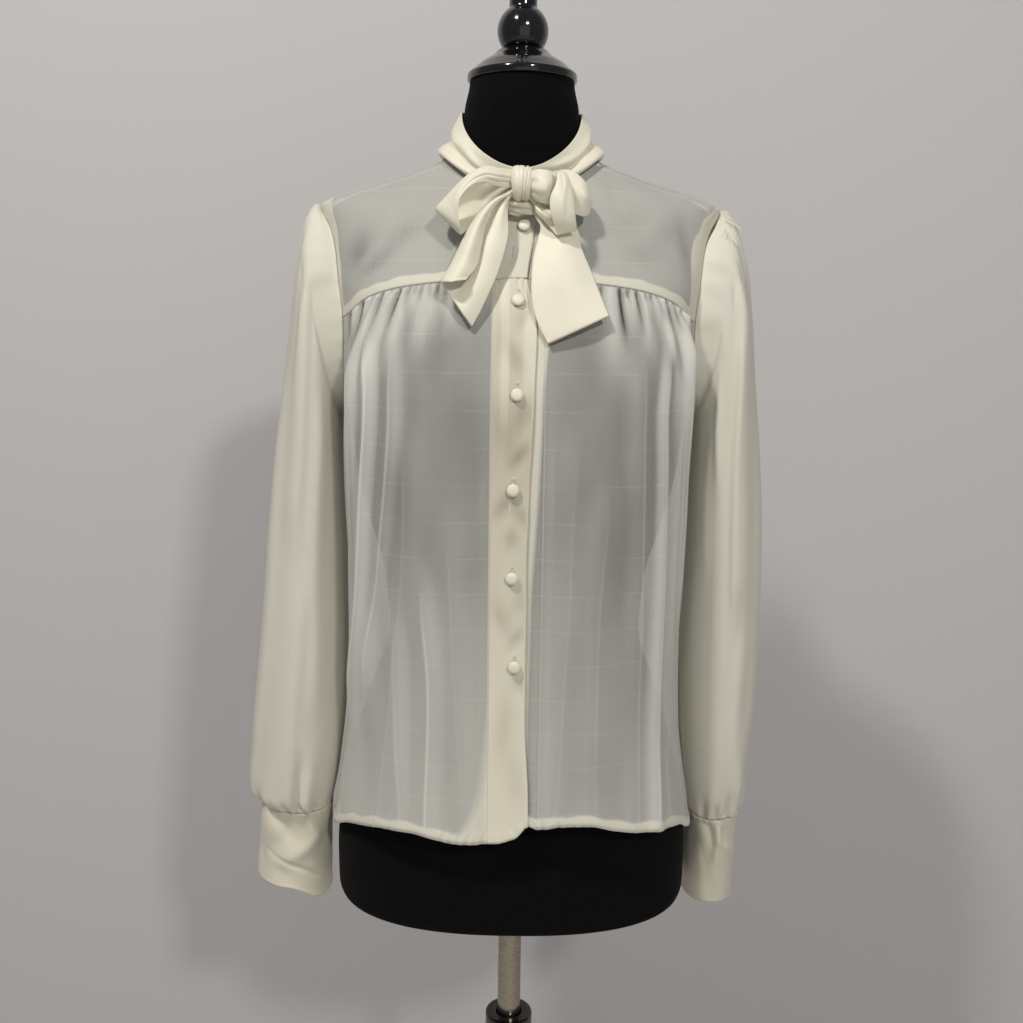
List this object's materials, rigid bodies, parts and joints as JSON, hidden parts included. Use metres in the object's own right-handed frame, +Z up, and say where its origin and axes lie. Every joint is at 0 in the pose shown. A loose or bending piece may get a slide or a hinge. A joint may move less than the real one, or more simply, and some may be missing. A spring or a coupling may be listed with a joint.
{
  "type": "tie neck blouse on a dress form",
  "caption": "Sheer long-sleeved blouse with gathered fronts under yokes, a button band and a tied bow, worn on a limbless dress form whose pole slides in a floor stand",
  "frame": {"origin": "on the pole's axis, at the flat underside of the stand's base", "axes": "+Z up along the pole, the blouse's front faces -Y, the wearer's left is at +X"},
  "size_m": [0.4703, 0.34, 1.622],
  "materials": {
    "sheer_cloth": "satin",
    "doubled_cloth": "satin",
    "covered_button": "satin",
    "black_jersey": "matte",
    "black_lacquer": "gloss",
    "black_enamel": "gloss",
    "nickel": "polished"
  },
  "bodies": {
    "stand": {"base": "black_enamel", "column": "black_enamel"},
    "form": {"front_right": "sheer_cloth", "front_left": "sheer_cloth", "yoke_right": "sheer_cloth", "yoke_left": "sheer_cloth", "back": "sheer_cloth", "sleeve_right": "sheer_cloth", "sleeve_left": "sheer_cloth", "placket_over": "doubled_cloth", "placket_under": "doubled_cloth", "cuff_right": "doubled_cloth", "cuff_left": "doubled_cloth", "collar": "doubled_cloth", "knot": "doubled_cloth", "bow_loop_right": "doubled_cloth", "bow_loop_left": "doubled_cloth", "bow_fold_left": "doubled_cloth", "tail_right": "doubled_cloth", "tail_left": "doubled_cloth", "button_1": "covered_button", "button_2": "covered_button", "button_3": "covered_button", "button_4": "covered_button", "button_5": "covered_button", "button_6": "covered_button", "cuff_button_right": "covered_button", "cuff_button_left": "covered_button", "torso": "black_jersey", "neck_cap": "black_lacquer", "finial": "black_lacquer", "pole": "nickel"}
  },
  "joints": [
    {"name": "pole_height", "type": "slide", "parent": "stand", "child": "form", "axis": [0, 0, 1], "range_m": [-0.06, 0.2]}
  ]
}
